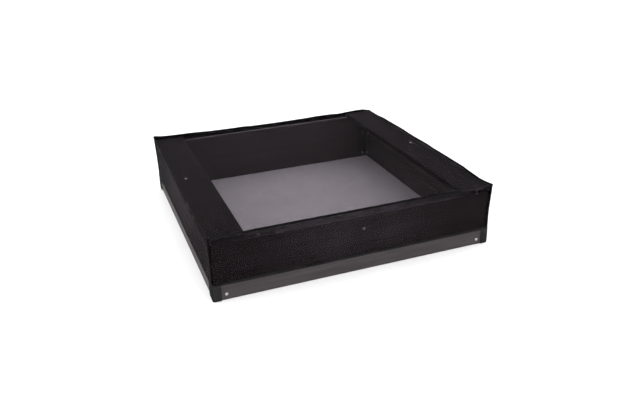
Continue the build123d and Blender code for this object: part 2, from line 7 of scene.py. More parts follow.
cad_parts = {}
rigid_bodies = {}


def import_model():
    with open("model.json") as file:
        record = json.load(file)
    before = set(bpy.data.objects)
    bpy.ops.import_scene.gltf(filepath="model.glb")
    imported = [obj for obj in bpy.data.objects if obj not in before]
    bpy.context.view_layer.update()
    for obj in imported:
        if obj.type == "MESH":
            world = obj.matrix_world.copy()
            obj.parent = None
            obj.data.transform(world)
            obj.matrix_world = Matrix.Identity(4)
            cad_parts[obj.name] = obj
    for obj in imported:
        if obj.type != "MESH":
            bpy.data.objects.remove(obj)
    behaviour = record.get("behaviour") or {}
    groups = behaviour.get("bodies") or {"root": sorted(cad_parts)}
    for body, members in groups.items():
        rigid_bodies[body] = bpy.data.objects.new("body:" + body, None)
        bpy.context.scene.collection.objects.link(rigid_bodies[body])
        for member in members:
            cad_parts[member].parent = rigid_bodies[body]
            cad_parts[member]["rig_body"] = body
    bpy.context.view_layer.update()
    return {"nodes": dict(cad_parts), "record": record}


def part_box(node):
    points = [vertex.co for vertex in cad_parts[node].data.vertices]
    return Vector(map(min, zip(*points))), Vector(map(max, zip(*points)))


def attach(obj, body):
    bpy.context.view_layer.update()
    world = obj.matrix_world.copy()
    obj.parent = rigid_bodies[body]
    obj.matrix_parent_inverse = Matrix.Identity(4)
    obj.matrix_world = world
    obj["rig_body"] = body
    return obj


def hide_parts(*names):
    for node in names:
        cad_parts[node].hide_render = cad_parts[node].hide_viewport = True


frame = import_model()
nodes = frame["nodes"]
scene = bpy.context.scene

# ---------------------------------------------------------------- sizes, all from the CAD boxes
HALF = -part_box("front_lower_board")[0].y
WALL_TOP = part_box("front_upper_board")[1].z
SEAT_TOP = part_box("left_seat")[1].z
SEAT_IN = -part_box("left_seat")[1].x
SEAM_LO, SEAM_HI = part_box("cover_seam_front")[0].z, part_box("cover_seam_front")[1].z
HEM_LO, HEM_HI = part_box("cover_hem_front")[0].z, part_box("cover_hem_front")[1].z
FACE_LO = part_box("cover_facing_front")[0].z
SKIRT_OFF = (-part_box("cover_skirt_front")[0].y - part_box("cover_skirt_front")[1].y) / 2 - HALF
FACE_OFF = (-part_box("cover_facing_front")[0].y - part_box("cover_facing_front")[1].y) / 2 - HALF
HEM_OFF = (-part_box("cover_hem_front")[0].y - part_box("cover_hem_front")[1].y) / 2 - HALF
SEAM_OFF = (-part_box("cover_seam_front")[0].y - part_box("cover_seam_front")[1].y) / 2 - HALF
MM = 0.001

# Height of the seam's top along each side, in mm from the CAD seam's top.
# front and back by x, right and left by y.
SEAM_DZ = {
    0: [(-600, -.5), (-584, 0), (-554, -1.5), (-525, -3), (-495, -.5), (-434, 2), (-200, 2.5), (0, 2),
        (200, 2.6), (376, 2), (414, 1), (452, -1), (491, -2), (530, -2.5), (575, -2), (600, -.5)],
    1: [(-600, -.5), (-578, -2.3), (-541, -5.6), (-504, -6.4), (-465, -4.4), (-425, -3), (-384, .5),
        (-168, .5), (-121, -.6), (-73, 1.3), (-24, 1.3), (26, -.7), (77, -1.6), (130, -1.5), (185, 0),
        (240, -.4), (298, -2), (356, -3), (417, -3.4), (479, -9), (543, -10), (600, -10)],
    2: [(-600, 6.7), (-562, 2), (-521, 1), (-480, 0), (-438, 0), (-396, -1), (-354, -3), (-312, -5),
        (-269, -5.4), (-182, -6.3), (-138, -5.3), (-94, -8.4), (-5, -9), (41, -9.2), (132, -8.4),
        (226, -7.2), (273, -5), (368, -5), (417, -8), (465, -5), (515, -2.3), (564, -2.3), (600, -11)],
    3: [(-600, -.5), (-550, -2.5), (-450, -3.5), (-300, -4), (-150, -2), (0, -4), (150, -2.5), (300, -4),
        (450, -2), (560, 1), (600, 6.7)],
}


def smooth(a, b, x):
    t = np.clip((x - a) / (b - a), 0, 1)
    return t * t * (3 - 2 * t)


def n3(x, y, z):
    return noise.noise(Vector((x, y, z)))


def seam_z(side, coord):
    t = SEAM_DZ[side]
    return SEAM_HI + MM * float(np.interp(coord * 1000, [a for a, _ in t], [b for _, b in t]))


def lean(side, coord):
    """The cover's top edge leans in a little where no seat board holds it out."""
    if side in (0, 2):
        return 2.4 * MM * float(smooth(0, .06, SEAT_IN - abs(coord)))
    return 0.0


def ring(off, radii, step=.009, turn=7):
    """Stations round the box: x, y, nx, ny, side, coord, share into the next side, arc length.
    radii are the corners at the ends of the front, right, back and left sides."""
    e = HALF + off
    dirs = [((1, 0), (0, -1)), ((0, 1), (1, 0)), ((-1, 0), (0, 1)), ((0, -1), (-1, 0))]
    out = []
    for i in range(4):
        (dx, dy), (nx, ny) = dirs[i]
        (ex, ey), (mx, my) = dirs[(i + 1) % 4]
        r0, r1 = radii[(i - 1) % 4], radii[i]
        a, b = -e + r0, e - r1
        n = max(2, int(round((b - a) / step)))
        for k in range(n):
            t = a + (b - a) * k / n
            x, y = dx * t + nx * e, dy * t + ny * e
            out.append([x, y, nx, ny, i, x if i in (0, 2) else y, 0.0])
        cx, cy = dx * b + nx * (e - r1), dy * b + ny * (e - r1)
        for k in range(turn):
            w = math.pi / 2 * k / turn
            qx, qy = nx * math.cos(w) + mx * math.sin(w), ny * math.cos(w) + my * math.sin(w)
            x, y = cx + qx * r1, cy + qy * r1
            out.append([x, y, qx, qy, i, x if i in (0, 2) else y, k / turn])
    s = 0.0
    for k, q in enumerate(out):
        q.append(s)
        p = out[(k + 1) % len(out)]
        s += math.hypot(p[0] - q[0], p[1] - q[1])
    return out, s


def top_at(q):
    x, y, _, _, i, c, f, _ = q
    here = seam_z(i, c)
    if f > 0:
        j = (i + 1) % 4
        here = (1 - f) * here + f * seam_z(j, x if j in (0, 2) else y)
    return here


def tall_at(q):
    """How high the seam tape stands on each side."""
    front = 9.4 - 3.8 * float(smooth(.44, .50, abs(q[0])))     # turned under at its ends
    t = (front, 9.0, 17.0, 9.0)
    return MM * ((1 - q[6]) * t[q[4]] + q[6] * t[(q[4] + 1) % 4])


def corner_gap(x, y):
    """Distance along the wall from the nearest corner."""
    return (HALF + .004) - min(abs(x), abs(y))


def least(x, y, nx, ny, clear):
    """The smallest outward step that keeps a station clear of the box's square outline and its corners."""
    return HALF * (abs(nx) + abs(ny)) + clear - (x * nx + y * ny)


def loop_mesh(name, rows, length_of, closed_section=False):
    """rows: list over stations of lists of (x, y, z). UV map Cloth is (arc length, distance up) in metres."""
    n, m = len(rows), len(rows[0])
    verts = [p for r in rows for p in r]
    faces, uvs = [], []
    ups = []
    for r in rows:
        u = [0.0]
        for k in range(1, m):
            u.append(u[-1] + (Vector(r[k]) - Vector(r[k - 1])).length)
        u.append(u[-1] + (Vector(r[0]) - Vector(r[-1])).length)
        ups.append(u)
    for i in range(n):
        j = (i + 1) % n
        s0, s1 = length_of[i], length_of[i + 1]
        for k in range(m if closed_section else m - 1):
            l = (k + 1) % m
            faces.append((i * m + k, j * m + k, j * m + l, i * m + l))
            uvs.append(((s0, ups[i][k]), (s1, ups[j][k]), (s1, ups[j][k + 1]), (s0, ups[i][k + 1])))
    return make(name, verts, faces, uvs)


def make(name, verts, faces, uvs):
    me = bpy.data.meshes.new(name)
    me.from_pydata([tuple(v) for v in verts], [], faces)
    layer = me.uv_layers.new(name="Cloth")
    layer.data.foreach_set("uv", np.array(uvs, np.float32).ravel())
    me.polygons.foreach_set("use_smooth", [True] * len(me.polygons))
    me.update()
    ob = bpy.data.objects.new(name, me)
    scene.collection.objects.link(ob)
    return ob


def shell(ob, thickness):
    m = ob.modifiers.new("thick", "SOLIDIFY")
    m.thickness, m.offset, m.use_rim = thickness, 0.0, True
    return ob


# ---------------------------------------------------------------- materials
def mat(name):
    m = bpy.data.materials.new(name)
    m.use_nodes = True
    nt = m.node_tree
    nt.nodes.clear()
    return m, nt


def node(nt, kind, **kw):
    n = nt.nodes.new(kind)
    for k, v in kw.items():
        if k.startswith("in_"):
            key = k[3:]
            n.inputs[int(key) if key.isdigit() else key].default_value = v
        else:
            setattr(n, k, v)
    return n


def ramp(nt, fac, stops):
    r = node(nt, "ShaderNodeValToRGB")
    while len(r.color_ramp.elements) < len(stops):
        r.color_ramp.elements.new(.5)
    for e, (p, c) in zip(r.color_ramp.elements, stops):
        e.position, e.color = p, (*c, 1) if len(c) == 3 else c
    nt.links.new(fac, r.inputs[0])
    return r


def math_node(nt, op, a, b=None, c=None):
    n = node(nt, "ShaderNodeMath", operation=op)
    for i, v in enumerate((a, b, c)):
        if v is None:
            continue
        if isinstance(v, (int, float)):
            n.inputs[i].default_value = v
        else:
            nt.links.new(v, n.inputs[i])
    return n.outputs[0]


def remap(nt, v, lo, hi, a, b):
    n = node(nt, "ShaderNodeMapRange")
    nt.links.new(v, n.inputs[0])
    for i, x in enumerate((lo, hi, a, b), 1):
        n.inputs[i].default_value = x
    return n.outputs[0]


def noise_of(nt, vec, scale, detail=4, rough=.55, distort=0.0):
    n = node(nt, "ShaderNodeTexNoise", in_Scale=scale, in_Detail=detail, in_Roughness=rough, in_Distortion=distort)
    nt.links.new(vec, n.inputs["Vector"])
    return n.outputs[0]


def stretched(nt, scale, loc=(0, 0, 0)):
    tc = node(nt, "ShaderNodeTexCoord")
    mp = node(nt, "ShaderNodeMapping")
    mp.inputs["Scale"].default_value = scale
    mp.inputs["Location"].default_value = loc
    nt.links.new(tc.outputs["Object"], mp.inputs[0])
    return mp.outputs[0]


def wood(name, along, seed, dark_top_edge=None, low=(.044, .038, .040), high=(.070, .061, .064)):
    """Dark grey painted board: grain along its length, paint mottling, arrises a little paler, as wear and as a
    painted highlight.
    """
    m, nt = mat(name)
    long_, cross = 2.2, 46
    sc = (long_, cross, cross) if along == "x" else (cross, long_, cross)
    g = noise_of(nt, stretched(nt, sc, (seed, seed * .7, seed * 1.3)), 1.0, 7, .62, .5)
    fine = noise_of(nt, stretched(nt, tuple(v * 5 for v in sc), (seed, 0, 0)), 1.0, 3, .6)
    blot = noise_of(nt, stretched(nt, (5, 5, 5), (seed * 2, 0, 0)), 1.0, 3, .5)
    mix = math_node(nt, "ADD", math_node(nt, "MULTIPLY", g, .6), math_node(nt, "MULTIPLY", fine, .22))
    mix = math_node(nt, "ADD", mix, math_node(nt, "MULTIPLY", blot, .18))
    col = ramp(nt, mix, [(.36, low), (.52, tuple((a + b) / 2 for a, b in zip(low, high))), (.66, high)])
    bev = node(nt, "ShaderNodeBevel", samples=4, in_Radius=.003)
    geo = node(nt, "ShaderNodeNewGeometry")
    dot = node(nt, "ShaderNodeVectorMath", operation="DOT_PRODUCT")
    nt.links.new(bev.outputs[0], dot.inputs[0])
    nt.links.new(geo.outputs["Normal"], dot.inputs[1])
    edge = remap(nt, dot.outputs["Value"], .99, .86, 0, 1)
    # the arrises are painted paler: partly edge wear, partly a painted highlight along the edge
    wear_and_highlight = math_node(nt, "MULTIPLY", edge, remap(nt, fine, .42, .62, .05, .55))
    wear_tone_and_light = node(nt, "ShaderNodeMix", data_type="RGBA")
    nt.links.new(wear_and_highlight, wear_tone_and_light.inputs["Factor"])
    nt.links.new(col.outputs[0], wear_tone_and_light.inputs[6])
    wear_tone_and_light.inputs[7].default_value = (.115, .106, .104, 1)
    bsdf = node(nt, "ShaderNodeBsdfPrincipled")
    colour = wear_tone_and_light.outputs[2]
    if dark_top_edge is not None:                    # the faces turned to ±x are darkened in their top 6 to 7.5 mm
        face = node(nt, "ShaderNodeSeparateXYZ")
        nt.links.new(geo.outputs["Normal"], face.inputs[0])
        side = remap(nt, math_node(nt, "ABSOLUTE", face.outputs[0]), .45, .70, 0, 1)
        place = node(nt, "ShaderNodeSeparateXYZ")
        nt.links.new(stretched(nt, (1, 1, 1)), place.inputs[0])
        side = math_node(nt, "MULTIPLY", side, remap(nt, place.outputs[2], dark_top_edge - .0075, dark_top_edge - .0060, 0, 1))
        top_edge_dark = node(nt, "ShaderNodeMix", data_type="RGBA")
        nt.links.new(math_node(nt, "MULTIPLY", side, remap(nt, blot, .3, .7, .95, .75)), top_edge_dark.inputs["Factor"])
        nt.links.new(colour, top_edge_dark.inputs[6])
        top_edge_dark.inputs[7].default_value = (.0025, .0022, .0024, 1)
        colour = top_edge_dark.outputs[2]
    nt.links.new(colour, bsdf.inputs["Base Color"])
    nt.links.new(remap(nt, mix, .35, .65, .62, .48), bsdf.inputs["Roughness"])
    bsdf.inputs["Specular IOR Level"].default_value = .08
    bump = node(nt, "ShaderNodeBump", in_Strength=.5, in_Distance=.0007)
    nt.links.new(mix, bump.inputs["Height"])
    nt.links.new(bump.outputs[0], bsdf.inputs["Normal"])
    out = node(nt, "ShaderNodeOutputMaterial")
    nt.links.new(bsdf.outputs[0], out.inputs[0])
    return m


def metal(name, low, high, rough, metallic, scale=320.0, bump_mm=.05):
    m, nt = mat(name)
    v = stretched(nt, (1, 1, 1))
    a = noise_of(nt, v, scale, 3, .6)
    b = noise_of(nt, v, 40, 4, .6)
    mix = math_node(nt, "ADD", math_node(nt, "MULTIPLY", a, .45), math_node(nt, "MULTIPLY", b, .55))
    col = ramp(nt, mix, [(.36, low), (.64, high)])
    bsdf = node(nt, "ShaderNodeBsdfPrincipled", in_Metallic=metallic)
    nt.links.new(col.outputs[0], bsdf.inputs["Base Color"])
    nt.links.new(remap(nt, mix, .35, .65, rough + .09, rough - .07), bsdf.inputs["Roughness"])
    bump = node(nt, "ShaderNodeBump", in_Strength=.6, in_Distance=bump_mm * MM)
    nt.links.new(a, bump.inputs["Height"])
    nt.links.new(bump.outputs[0], bsdf.inputs["Normal"])
    out = node(nt, "ShaderNodeOutputMaterial")
    nt.links.new(bsdf.outputs[0], out.inputs[0])
    return m


def net(name, clear, swing, base, pitch=1.6, tint=(1, 1, 1), dense=False, glow=None):
    """Fine knitted net. clear is the share of light that one face lets through, on average, and swing how far
    the holes and yarns differ from it. A closed sheet has two faces, so it lets clear squared through."""
    m, nt = mat(name)
    uv = node(nt, "ShaderNodeUVMap", uv_map="Cloth")
    sep = node(nt, "ShaderNodeSeparateXYZ")
    nt.links.new(uv.outputs[0], sep.inputs[0])
    k = 2 * math.pi / (pitch * MM)
    su = math_node(nt, "SINE", math_node(nt, "MULTIPLY", sep.outputs[0], k))
    sv = math_node(nt, "SINE", math_node(nt, "MULTIPLY", sep.outputs[1], k))
    hu = math_node(nt, "MULTIPLY_ADD", su, .5, .5)
    hv = math_node(nt, "MULTIPLY_ADD", sv, .5, .5)
    hole = math_node(nt, "MULTIPLY", hu, hv)                      # mean 0.25
    lint = noise_of(nt, stretched(nt, (1, 1, 1)), 14, 4, .6)
    thr = math_node(nt, "MULTIPLY_ADD", math_node(nt, "SUBTRACT", hole, .25), swing, clear)
    thr = math_node(nt, "ADD", thr, math_node(nt, "MULTIPLY", math_node(nt, "SUBTRACT", lint, .5), .06))
    if dense:
        at = node(nt, "ShaderNodeAttribute", attribute_name="dense")
        thr = math_node(nt, "MULTIPLY", thr, math_node(nt, "SUBTRACT", 1.0, at.outputs["Fac"]))
    thr = math_node(nt, "MINIMUM", math_node(nt, "MAXIMUM", thr, 0.0), 1.0)
    yarn = noise_of(nt, stretched(nt, (1, 1, 1)), 420, 2, .5)
    wear_tone_and_light = node(nt, "ShaderNodeAttribute", attribute_name="wear_tone_and_light") if dense else None
    shade = math_node(nt, "ADD", math_node(nt, "MULTIPLY", lint, .6), math_node(nt, "MULTIPLY", yarn, .4))
    col = ramp(nt, shade, [(.34, tuple(c * .72 for c in base)), (.66, tuple(c * 1.3 for c in base))])
    bsdf = node(nt, "ShaderNodeBsdfPrincipled", in_Roughness=.78)
    bsdf.inputs["Specular IOR Level"].default_value = .015
    bsdf.inputs["Sheen Weight"].default_value = 0.0
    if wear_tone_and_light:
        # the attribute darkens the colour where it is low; on the skirt it carries a painted sheen, on the facing it
        # marks the closer back cloth, on the top panel it is an even tone
        tone_and_sheen = node(nt, "ShaderNodeMix", data_type="RGBA", blend_type="MULTIPLY")
        tone_and_sheen.inputs["Factor"].default_value = 1.0
        nt.links.new(col.outputs[0], tone_and_sheen.inputs[6])
        nt.links.new(ramp(nt, wear_tone_and_light.outputs["Fac"], [(0, (.52, .52, .52)), (1, (1.0, 1.0, 1.0))]).outputs[0], tone_and_sheen.inputs[7])
        skin = tone_and_sheen.outputs[2]
        if glow:                              # painted light: the cloth is painted lighter where a seat's end lies close behind it and keeps the light from behind off it
            at = node(nt, "ShaderNodeAttribute", attribute_name="backed")
            bk = node(nt, "ShaderNodeMix", data_type="RGBA")
            nt.links.new(at.outputs["Fac"], bk.inputs["Factor"])
            nt.links.new(skin, bk.inputs[6])
            bk.inputs[7].default_value = (.085, .078, .083, 1)
            skin = bk.outputs[2]
        nt.links.new(skin, bsdf.inputs["Base Color"])
    else:
        nt.links.new(col.outputs[0], bsdf.inputs["Base Color"])
    bump = node(nt, "ShaderNodeBump", in_Strength=.5, in_Distance=.0002)
    nt.links.new(math_node(nt, "SUBTRACT", 1.0, hole), bump.inputs["Height"])
    nt.links.new(bump.outputs[0], bsdf.inputs["Normal"])
    tr = node(nt, "ShaderNodeBsdfTransparent")
    tr.inputs[0].default_value = (*tint, 1)
    mx = node(nt, "ShaderNodeMixShader")
    nt.links.new(thr, mx.inputs[0])
    solid = bsdf.outputs[0]
    if glow:                                  # close cloth that passes some light on, spread out
        tl = node(nt, "ShaderNodeBsdfTranslucent")
        # painted light: the translucency colour is raised towards the cloth's lower edge, standing in for the light
        # that the wall's top keeps from it
        low_edge_painted_light = ramp(nt, remap(nt, sep.outputs[1], 0, .022, 0, 1),
                      [(0, tuple(min(1, c * 2.3) for c in glow)), (.35, tuple(min(1, c * 1.6) for c in glow)), (.8, glow)])
        lit = node(nt, "ShaderNodeAttribute", attribute_name="wear_tone_and_light")
        dim = node(nt, "ShaderNodeMix", data_type="RGBA", blend_type="MULTIPLY")
        dim.inputs["Factor"].default_value = 1.0
        nt.links.new(low_edge_painted_light.outputs[0], dim.inputs[6])
        nt.links.new(ramp(nt, lit.outputs["Fac"], [(0, (.02, .02, .02)), (1, (1, 1, 1))]).outputs[0], dim.inputs[7])
        nt.links.new(dim.outputs[2], tl.inputs[0])
        half = node(nt, "ShaderNodeMixShader", in_0=.5)
        nt.links.new(bsdf.outputs[0], half.inputs[1])
        nt.links.new(tl.outputs[0], half.inputs[2])
        solid = half.outputs[0]
    nt.links.new(solid, mx.inputs[1])
    nt.links.new(tr.outputs[0], mx.inputs[2])
    out = node(nt, "ShaderNodeOutputMaterial")
    nt.links.new(mx.outputs[0], out.inputs[0])
    return m


def tape(name, base, rib=1.3, stitch_at=None, stitch_col=(.03, .03, .032), painted_shade_sides=False, painted_light_colour=None):
    """Close woven tape: ribs across it, and a row of stitches where stitch_at gives its height on the UV map."""
    m, nt = mat(name)
    uv = node(nt, "ShaderNodeUVMap", uv_map="Cloth")
    sep = node(nt, "ShaderNodeSeparateXYZ")
    nt.links.new(uv.outputs[0], sep.inputs[0])
    k = 2 * math.pi / (rib * MM)
    ribs = math_node(nt, "MULTIPLY_ADD", math_node(nt, "SINE", math_node(nt, "MULTIPLY", sep.outputs[0], k)), .5, .5)
    weft = math_node(nt, "MULTIPLY_ADD", math_node(nt, "SINE", math_node(nt, "MULTIPLY", sep.outputs[1], k * 1.7)), .5, .5)
    big = noise_of(nt, stretched(nt, (1, 1, 1)), 22, 4, .6)
    mix = math_node(nt, "ADD", math_node(nt, "MULTIPLY", math_node(nt, "MULTIPLY", ribs, weft), .4),
                    math_node(nt, "MULTIPLY", big, .6))
    col = ramp(nt, mix, [(.2, tuple(c * .6 for c in base)), (.7, tuple(c * 1.6 for c in base))]).outputs[0]
    height = mix
    if stitch_at is not None:
        near = None
        for h in stitch_at:
            d = math_node(nt, "ABSOLUTE", math_node(nt, "SUBTRACT", sep.outputs[1], h))
            row = remap(nt, d, .0003, .0007, 1, 0)
            near = row if near is None else math_node(nt, "MAXIMUM", near, row)
        dash = math_node(nt, "SINE", math_node(nt, "MULTIPLY", sep.outputs[0], 2 * math.pi / .0034))
        st = math_node(nt, "MULTIPLY", near, remap(nt, dash, -.55, -.25, 0, 1))
        sm = node(nt, "ShaderNodeMix", data_type="RGBA")
        nt.links.new(st, sm.inputs["Factor"])
        nt.links.new(col, sm.inputs[6])
        sm.inputs[7].default_value = (*stitch_col, 1)
        col = sm.outputs[2]
        height = math_node(nt, "ADD", mix, math_node(nt, "MULTIPLY", st, 1.2))
    bsdf = node(nt, "ShaderNodeBsdfPrincipled", in_Roughness=.8)
    bsdf.inputs["Specular IOR Level"].default_value = .04
    bsdf.inputs["Sheen Weight"].default_value = .004
    if painted_light_colour:                                 # painted light: the tape is painted lighter where it is tucked under near its front ends, standing in for light on a band that lies in shade
        at = node(nt, "ShaderNodeAttribute", attribute_name="wear_tone_and_light")
        fm = node(nt, "ShaderNodeMix", data_type="RGBA")
        nt.links.new(at.outputs["Fac"], fm.inputs["Factor"])
        nt.links.new(col, fm.inputs[6])
        fm.inputs[7].default_value = (*painted_light_colour, 1)
        col = fm.outputs[2]
    # painted shade: the strap's faces turned to ±x are painted near black, standing in for shade
    if painted_shade_sides:
        geo = node(nt, "ShaderNodeNewGeometry")
        face = node(nt, "ShaderNodeSeparateXYZ")
        nt.links.new(geo.outputs["Normal"], face.inputs[0])
        dk = node(nt, "ShaderNodeMix", data_type="RGBA")
        nt.links.new(remap(nt, math_node(nt, "ABSOLUTE", face.outputs[0]), .5, .9, 0, .85), dk.inputs["Factor"])
        nt.links.new(col, dk.inputs[6])
        dk.inputs[7].default_value = (.003, .003, .003, 1)
        col = dk.outputs[2]
    nt.links.new(col, bsdf.inputs["Base Color"])
    bump = node(nt, "ShaderNodeBump", in_Strength=.6, in_Distance=.0003)
    nt.links.new(height, bump.inputs["Height"])
    nt.links.new(bump.outputs[0], bsdf.inputs["Normal"])
    out = node(nt, "ShaderNodeOutputMaterial")
    nt.links.new(bsdf.outputs[0], out.inputs[0])
    return m


WOOD = {}
for i, n in enumerate(sorted(nodes)):
    if n.endswith("_board") or n.endswith("_seat"):
        along = "x" if n.startswith(("front", "back")) else "y"
        tone = {}
        if n.endswith("_seat"):
            tone = dict(low=(.0150, .0120, .0132), high=(.0245, .0200, .0222),
                        dark_top_edge=max(v.co.z for v in nodes[n].data.vertices))
        elif n == "front_lower_board":
            tone = dict(low=(.038, .033, .034), high=(.061, .053, .055))
        # painted light: the back boards are painted lighter than the other boards, standing in for light on the back
        # wall's inner face
        elif n.startswith("back"):
            tone = dict(low=(.057, .049, .051), high=(.090, .078, .081))
        WOOD[n] = wood("paint_" + n, along, 3.1 * i + 1.7, **tone)
COAT = metal("powder_coat", (.014, .014, .015), (.024, .024, .025), .46, 0.0, 700, .06)
ZINC = metal("zinc_plate", (.34, .34, .35), (.52, .52, .54), .36, 1.0)
# painted shade: a darker copy of the zinc, for the round bolt behind the net
SHADED = metal("zinc_painted_shade", (.24, .24, .245), (.36, .36, .37), .45, .8)
# painted highlight: the seat bolts' zinc is near white and hardly metallic, standing in for their glint
ZINC_PAINTED_HIGHLIGHT = metal("zinc_painted_highlight", (.80, .80, .80), (.95, .95, .95), .40, .15)
DARK = metal("blackened_steel", (.05, .05, .052), (.10, .10, .104), .44, 1.0)
NET = net("net_cloth", .640, .30, (.0072, .0064, .0071), tint=(1, .974, 1), dense=True)
FACING = net("facing_cloth", .20, .16, (.036, .0335, .0355), pitch=1.2, glow=(.36, .34, .36), dense=True)
TAPE = tape("seam_tape_cloth", (.0034, .0033, .0036), stitch_at=(.0035,), stitch_col=(.012, .012, .013),
            painted_light_colour=(.0125, .0114, .0122))
HEMTAPE = tape("hem_cloth", (.0105, .0098, .0105), stitch_at=(.0095,), stitch_col=(.022, .022, .023))
STRAP = tape("strap_webbing", (.0165, .0158, .0168), painted_shade_sides=True, rib=1.8, stitch_at=(.055,))

slots = {m["slot"]: m.get("nodes", []) for m in frame["record"].get("materials", [])}
for n, ob in nodes.items():
    if n in WOOD:
        use = WOOD[n]
    elif "bracket" in n and "screws" not in n or n == "front_joining_plate":
        use = COAT
    elif any(n in v for s, v in slots.items() if s == "fastener_dark") or n == "seat_end_screws":
        use = DARK
    elif n == "seat_bolts":
        use = ZINC_PAINTED_HIGHLIGHT
    elif n == "plate_round_bolt":
        use = SHADED
    elif ob["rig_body"] == "frame":
        use = ZINC
    else:
        continue
    ob.data.materials.clear()
    ob.data.materials.append(use)

# ---------------------------------------------------------------- the cover
EAR, SOFT = 5 * MM, 16 * MM
TOP_R = [EAR, SOFT, EAR, SOFT]        # front right, back right, back left, front left
LOW_R = [11 * MM] * 4


def pull_out(q):
    """The two pinched corners stand out a little."""
    x, y = q[0], q[1]
    if x * y > 0:
        return 0.0
    return (5.5 if x > 0 else 4.0) * MM * math.exp(-corner_gap(x, y) / .02)


def seam_off(q):
    """Where the middle of the seam tape runs, measured outward from its station."""
    o = pull_out(q) * 1.15 - lean(q[4], q[5]) + .7 * MM * n3(q[0] * 38, q[1] * 38, 11.0)
    return max(o, least(*q[:4], 2.7 * MM))


def pucker(x, y):
    a = n3(x * 34, y * 34, 1.3) + .6 * n3(x * 75, y * 75, 4.1)
    return max(0.0, a) ** 1.3


# top panel: a taut net, resting on the seat boards, lifted at its edge to the seam
N = 220
edge = HALF + SEAM_OFF - .6 * MM
sst, stotal = ring(SEAM_OFF, TOP_R, step=.006, turn=8)
mid = np.array([(q[0] + q[2] * seam_off(q), q[1] + q[3] * seam_off(q)) for q in sst])
mid_d = np.roll(mid, -1, axis=0) - mid


def to_seam(x, y):
    """The step from a point to the nearest point on the tape's middle line."""
    p = np.array((x, y))
    t = np.clip(((p - mid) * mid_d).sum(1) / (mid_d * mid_d).sum(1), 0, 1)
    step = mid + mid_d * t[:, None] - p
    return step[np.argmin((step * step).sum(1))]


lin = np.sin(np.linspace(-1, 1, N + 1) * math.pi / 2 * .86) / math.sin(math.pi / 2 * .86)
rim = {0: [to_seam(float(v) * edge, -edge) for v in lin], 1: [to_seam(edge, float(v) * edge) for v in lin],
       2: [to_seam(float(v) * edge, edge) for v in lin], 3: [to_seam(-edge, float(v) * edge) for v in lin]}
verts, uvs, faces, folds = [], [], [], []
# a long shallow crease left by folding
crease = [(-.345, .290), (-.303, .224), (-.275, .186), (-.262, .160), (-.232, .126), (-.205, .085)]
for j in range(N + 1):
    for i in range(N + 1):
        x, y = float(lin[i]) * edge, float(lin[j]) * edge
        over = smooth(SEAT_IN - .03, SEAT_IN - .002, abs(x))
        base = SEAT_TOP + .8 * MM
        wide = 1 - float(over)
        sag = 3.0 * MM * max(0, 1 - (x / SEAT_IN) ** 2) * max(0, 1 - (y / HALF) ** 4)
        z = base - sag * wide
        rise = 0.0
        for side, d, c in ((0, y + edge, x), (2, edge - y, x), (1, edge - x, y), (3, x + edge, y)):
            reach = (.022 + .030 * wide) if side in (0, 2) else .020
            target = max(seam_z(side, c) - 4.5 * MM, base)
            rise = max(rise, (target - base) * math.exp(-d / reach))
        w = 0.55 * n3(x * 9, y * 7, .3) + .35 * n3(x * 21, y * 25, 2.2)
        near = math.exp(-min(edge - abs(x), edge - abs(y)) / .05)
        w += near * .9 * n3(x * 48, y * 48, 7.7)
        bump = 1.1 * MM * w
        if over > .5:
            bump = max(bump, -.2 * MM) + .25 * MM
        z += rise + bump
        folds.append(0.0)
        for (x0, y0), (x1, y1) in zip(crease, crease[1:]):
            dx, dy = x1 - x0, y1 - y0
            t = max(0, min(1, ((x - x0) * dx + (y - y0) * dy) / (dx * dx + dy * dy)))
            dd = math.hypot(x - x0 - t * dx, y - y0 - t * dy)
            if dd < .02:
                z += 1.3 * MM * math.exp(-(dd / .010) ** 2) * wide
                along = (y - crease[-1][1]) / (crease[0][1] - crease[-1][1])
                fade = float(smooth(0, .35, along) * smooth(0, .35, 1 - along))
                folds[-1] = max(folds[-1], .10 * fade * math.exp(-(dd / .006) ** 2) * wide)
        if abs(x) > SEAT_IN - .012:
            z = max(z, SEAT_TOP + .55 * MM)
        # the rim is sewn into the tape, so it goes wherever the tape goes
        d = (y + edge, edge - x, edge - y, x + edge)
        pull = [math.exp(-v / .02) / (v + .3 * MM) for v in d]
        move = sum(w * rim[s][i if s in (0, 2) else j] for s, w in enumerate(pull)) / sum(pull)
        move = move * math.exp(-max(0.0, min(d)) / .02)
        x, y = x + float(move[0]), y + float(move[1])
        verts.append((x, y, z))
for j in range(N):
    for i in range(N):
        a = j * (N + 1) + i
        q = (a, a + 1, a + N + 2, a + N + 1)
        faces.append(q)
        uvs.append([(verts[k][0], verts[k][1]) for k in q])
top = make("net_top_panel", verts, faces, uvs)
top.data.materials.append(NET)
at = top.data.attributes.new("dense", "FLOAT", "POINT")
at.data.foreach_set("value", folds)
at = top.data.attributes.new("wear_tone_and_light", "FLOAT", "POINT")
at.data.foreach_set("value", [.05] * len(verts))
shell(top, .7 * MM)

